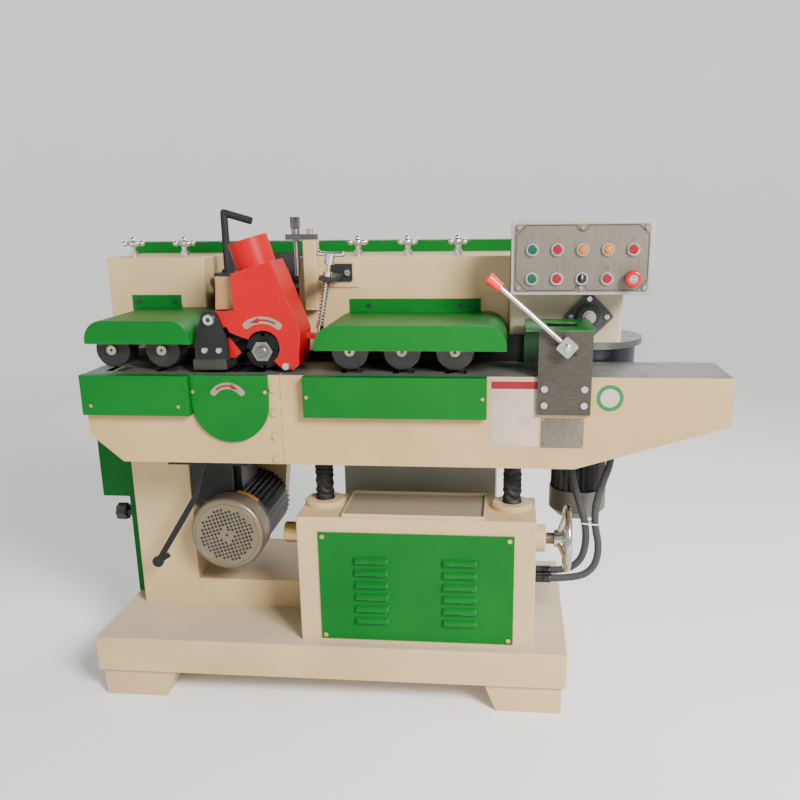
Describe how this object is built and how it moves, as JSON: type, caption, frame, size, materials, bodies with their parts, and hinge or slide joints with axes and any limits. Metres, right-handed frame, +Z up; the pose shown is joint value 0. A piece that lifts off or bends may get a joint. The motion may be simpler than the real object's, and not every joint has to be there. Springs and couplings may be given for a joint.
{
  "type": "round stick making machine",
  "caption": "Floor-standing woodworking machine that feeds a square stick along a table through driven rollers and past lower and upper cutters to make it round.",
  "frame": {"origin": "on the floor under the middle of the machine's bounding box", "axes": "+X along the table from the outfeed end to the infeed end, +Y from the operator's side to the back, +Z up"},
  "size_m": [1.732, 0.6644, 1.308],
  "materials": {
    "cream_paint": "cream enamel over sheet steel and castings",
    "green_paint": "gloss green enamel on sheet steel",
    "red_paint": "gloss red enamel on sheet steel",
    "blue_paint": "dark blue enamel on a cast housing",
    "grey_paint": "grey enamel on a motor casting",
    "black_iron": "black painted casting",
    "panel_box": "cream box with a brushed grey front plate",
    "steel": "ground steel",
    "dark_steel": "blackened steel",
    "chrome": "bright chrome plate",
    "boot_rubber": "folded black rubber",
    "conduit_rubber": "black ribbed flexible conduit",
    "roller_rubber": "black rubber tyre on a steel hub",
    "green_button": "green moulded button",
    "red_button": "red moulded button",
    "black_plastic": "black moulded plastic"
  },
  "bodies": {
    "frame": {"base_plinth": "cream_paint", "rear_frame": "cream_paint", "lift_cabinet": "cream_paint", "louvre_panel": "green_paint", "outfeed_gearbox": "cream_paint", "infeed_gearbox": "cream_paint", "outfeed_roller_guard": "green_paint", "infeed_roller_guard": "green_paint", "rear_cover": "green_paint", "side_belt_guard": "green_paint", "drive_housing": "cream_paint", "feed_gearmotor": "blue_paint", "control_box": "panel_box", "head_guide": "cream_paint", "spring_bracket": "black_iron", "conduits": "conduit_rubber", "upper_motor": "grey_paint", "frame_fittings": "steel"},
    "table": {"bed": "cream_paint", "outfeed_cover": "green_paint", "spindle_cover": "green_paint", "infeed_cover": "green_paint", "infeed_guide": "steel", "lower_motor": "grey_paint", "belt_case": "cream_paint", "column_boots": "boot_rubber", "table_hardware": "steel"},
    "head": {"upper_head": "black_iron"},
    "hood": {"cutter_hood": "red_paint"},
    "spring_rod": {"tension_rod": "chrome", "pressure_spring": "steel"},
    "handwheel": {"handwheel": "chrome"},
    "crank_handle": {"crank_handle": "dark_steel"},
    "upper_spindle": {"upper_spindle": "dark_steel"},
    "lower_spindle": {"lower_spindle": "dark_steel"},
    "infeed_roller_1": {"infeed_roller_1": "dark_steel"},
    "infeed_roller_2": {"infeed_roller_2": "dark_steel"},
    "infeed_roller_3": {"infeed_roller_3": "dark_steel"},
    "outfeed_roller_1": {"outfeed_roller_1": "roller_rubber"},
    "outfeed_roller_2": {"outfeed_roller_2": "roller_rubber"},
    "outfeed_idler_1": {"outfeed_idler_1": "steel"},
    "outfeed_idler_2": {"outfeed_idler_2": "steel"},
    "infeed_idler_1": {"infeed_idler_1": "steel"},
    "infeed_idler_2": {"infeed_idler_2": "steel"},
    "infeed_idler_3": {"infeed_idler_3": "steel"},
    "outfeed_pressure_knob_1": {"outfeed_pressure_knob_1": "chrome"},
    "outfeed_pressure_knob_2": {"outfeed_pressure_knob_2": "chrome"},
    "infeed_pressure_knob_1": {"infeed_pressure_knob_1": "chrome"},
    "infeed_pressure_knob_2": {"infeed_pressure_knob_2": "chrome"},
    "infeed_pressure_knob_3": {"infeed_pressure_knob_3": "chrome"},
    "adjusting_screw": {"adjusting_screw": "dark_steel"},
    "infeed_lever": {"infeed_lever": "steel"},
    "lower_start_button": {"lower_start_button": "green_button"},
    "lower_stop_button": {"lower_stop_button": "red_button"},
    "feed_stop_button": {"feed_stop_button": "red_button"},
    "upper_start_button": {"upper_start_button": "green_button"},
    "upper_stop_button": {"upper_stop_button": "red_button"},
    "power_button": {"power_button": "red_button"},
    "emergency_stop": {"emergency_stop": "red_button"},
    "selector_switch": {"selector_switch": "black_plastic"}
  },
  "joints": [
    {"name": "table_lift", "type": "slide", "parent": "frame", "child": "table", "axis": [0, 0, 1], "range_m": [-0.04, 0], "deforming": ["column_boots"]},
    {"name": "handwheel_turn", "type": "hinge", "parent": "frame", "child": "handwheel", "pos_m": [0.499, -0.20285, 0.468], "axis": [1, 0, 0], "range_deg": [-2870, 5]},
    {"name": "head_lift", "type": "slide", "parent": "frame", "child": "head", "axis": [0, 0, 1], "range_m": [0, 0.01]},
    {"name": "crank_turn", "type": "hinge", "parent": "frame", "child": "crank_handle", "pos_m": [-0.443, 0.03715, 1.298], "axis": [0, 0, 1], "range_deg": [-5, 905]},
    {"name": "hood_swing", "type": "hinge", "parent": "head", "child": "hood", "pos_m": [-0.399, -0.25885, 1.048], "axis": [0, -1, 0], "range_deg": [0, 5]},
    {"name": "rod_slide", "type": "slide", "parent": "head", "child": "spring_rod", "axis": [0.1857, 0, 0.9826], "range_m": [0, 0.0225], "stiffness_N_per_m": 1500, "springref_m": -0.02, "deforming": ["pressure_spring"]},
    {"name": "upper_spindle_turn", "type": "hinge", "parent": "head", "child": "upper_spindle", "pos_m": [-0.275, -0.19785, 0.967], "axis": [0, 1, 0], "continuous": true},
    {"name": "lower_spindle_turn", "type": "hinge", "parent": "table", "child": "lower_spindle", "pos_m": [-0.352, -0.19785, 0.845], "axis": [0, 1, 0], "continuous": true},
    {"name": "infeed_roller_1_turn", "type": "hinge", "parent": "frame", "child": "infeed_roller_1", "pos_m": [-0.054, -0.22285, 0.969], "axis": [0, 1, 0], "continuous": true},
    {"name": "infeed_roller_2_turn", "type": "hinge", "parent": "frame", "child": "infeed_roller_2", "pos_m": [0.076, -0.22285, 0.969], "axis": [0, 1, 0], "continuous": true},
    {"name": "infeed_roller_3_turn", "type": "hinge", "parent": "frame", "child": "infeed_roller_3", "pos_m": [0.206, -0.22285, 0.969], "axis": [0, 1, 0], "continuous": true},
    {"name": "outfeed_roller_1_turn", "type": "hinge", "parent": "frame", "child": "outfeed_roller_1", "pos_m": [-0.665, -0.22285, 0.969], "axis": [0, 1, 0], "continuous": true},
    {"name": "outfeed_roller_2_turn", "type": "hinge", "parent": "frame", "child": "outfeed_roller_2", "pos_m": [-0.534, -0.22285, 0.969], "axis": [0, 1, 0], "continuous": true},
    {"name": "outfeed_idler_1_turn", "type": "hinge", "parent": "table", "child": "outfeed_idler_1", "pos_m": [-0.665, -0.22285, 0.89], "axis": [0, 1, 0], "continuous": true},
    {"name": "outfeed_idler_2_turn", "type": "hinge", "parent": "table", "child": "outfeed_idler_2", "pos_m": [-0.534, -0.22285, 0.89], "axis": [0, 1, 0], "continuous": true},
    {"name": "infeed_idler_1_turn", "type": "hinge", "parent": "table", "child": "infeed_idler_1", "pos_m": [-0.054, -0.22285, 0.89], "axis": [0, 1, 0], "continuous": true},
    {"name": "infeed_idler_2_turn", "type": "hinge", "parent": "table", "child": "infeed_idler_2", "pos_m": [0.076, -0.22285, 0.89], "axis": [0, 1, 0], "continuous": true},
    {"name": "infeed_idler_3_turn", "type": "hinge", "parent": "table", "child": "infeed_idler_3", "pos_m": [0.206, -0.22285, 0.89], "axis": [0, 1, 0], "continuous": true},
    {"name": "outfeed_pressure_knob_1_turn", "type": "hinge", "parent": "frame", "child": "outfeed_pressure_knob_1", "pos_m": [-0.71, 0.04215, 1.2], "axis": [0, 0, 1], "continuous": true},
    {"name": "outfeed_pressure_knob_2_turn", "type": "hinge", "parent": "frame", "child": "outfeed_pressure_knob_2", "pos_m": [-0.563, 0.04215, 1.2], "axis": [0, 0, 1], "continuous": true},
    {"name": "infeed_pressure_knob_1_turn", "type": "hinge", "parent": "frame", "child": "infeed_pressure_knob_1", "pos_m": [-0.076, 0.04215, 1.2], "axis": [0, 0, 1], "continuous": true},
    {"name": "infeed_pressure_knob_2_turn", "type": "hinge", "parent": "frame", "child": "infeed_pressure_knob_2", "pos_m": [0.06, 0.04215, 1.2], "axis": [0, 0, 1], "continuous": true},
    {"name": "infeed_pressure_knob_3_turn", "type": "hinge", "parent": "frame", "child": "infeed_pressure_knob_3", "pos_m": [0.196, 0.04215, 1.2], "axis": [0, 0, 1], "continuous": true},
    {"name": "adjusting_screw_turn", "type": "hinge", "parent": "frame", "child": "adjusting_screw", "pos_m": [-0.231, -0.02685, 1.25], "axis": [0, 0, 1], "continuous": true},
    {"name": "infeed_lever_turn", "type": "hinge", "parent": "table", "child": "infeed_lever", "pos_m": [0.472, -0.31585, 0.991], "axis": [0, 1, 0], "range_deg": [-40, 50]},
    {"name": "lower_start_button_press", "type": "slide", "parent": "frame", "child": "lower_start_button", "axis": [0, 1, 0], "range_m": [0, 0.004], "stiffness_N_per_m": 500},
    {"name": "lower_stop_button_press", "type": "slide", "parent": "frame", "child": "lower_stop_button", "axis": [0, 1, 0], "range_m": [0, 0.004], "stiffness_N_per_m": 500},
    {"name": "feed_stop_button_press", "type": "slide", "parent": "frame", "child": "feed_stop_button", "axis": [0, 1, 0], "range_m": [0, 0.004], "stiffness_N_per_m": 500},
    {"name": "upper_start_button_press", "type": "slide", "parent": "frame", "child": "upper_start_button", "axis": [0, 1, 0], "range_m": [0, 0.004], "stiffness_N_per_m": 500},
    {"name": "upper_stop_button_press", "type": "slide", "parent": "frame", "child": "upper_stop_button", "axis": [0, 1, 0], "range_m": [0, 0.004], "stiffness_N_per_m": 500},
    {"name": "power_button_press", "type": "slide", "parent": "frame", "child": "power_button", "axis": [0, 1, 0], "range_m": [0, 0.004], "stiffness_N_per_m": 500},
    {"name": "emergency_stop_press", "type": "slide", "parent": "frame", "child": "emergency_stop", "axis": [0, 1, 0], "range_m": [0, 0.004], "stiffness_N_per_m": 500},
    {"name": "selector_turn", "type": "hinge", "parent": "frame", "child": "selector_switch", "pos_m": [0.508, -0.21285, 1.139], "axis": [0, 1, 0], "range_deg": [-45, 45]}
  ],
  "couplings": [
    {"joint": "handwheel_turn", "follows": "table_lift", "rad_per_m": 1250},
    {"joint": "crank_turn", "follows": "head_lift", "rad_per_m": 1570.8},
    {"joint": "rod_slide", "follows": "hood_swing", "m_per_rad": 0.254},
    {"joint": "infeed_roller_2_turn", "follows": "infeed_roller_1_turn", "ratio": 1},
    {"joint": "infeed_roller_3_turn", "follows": "infeed_roller_1_turn", "ratio": 1},
    {"joint": "outfeed_roller_1_turn", "follows": "infeed_roller_1_turn", "ratio": 1.0444},
    {"joint": "outfeed_roller_2_turn", "follows": "infeed_roller_1_turn", "ratio": 1.0444}
  ]
}
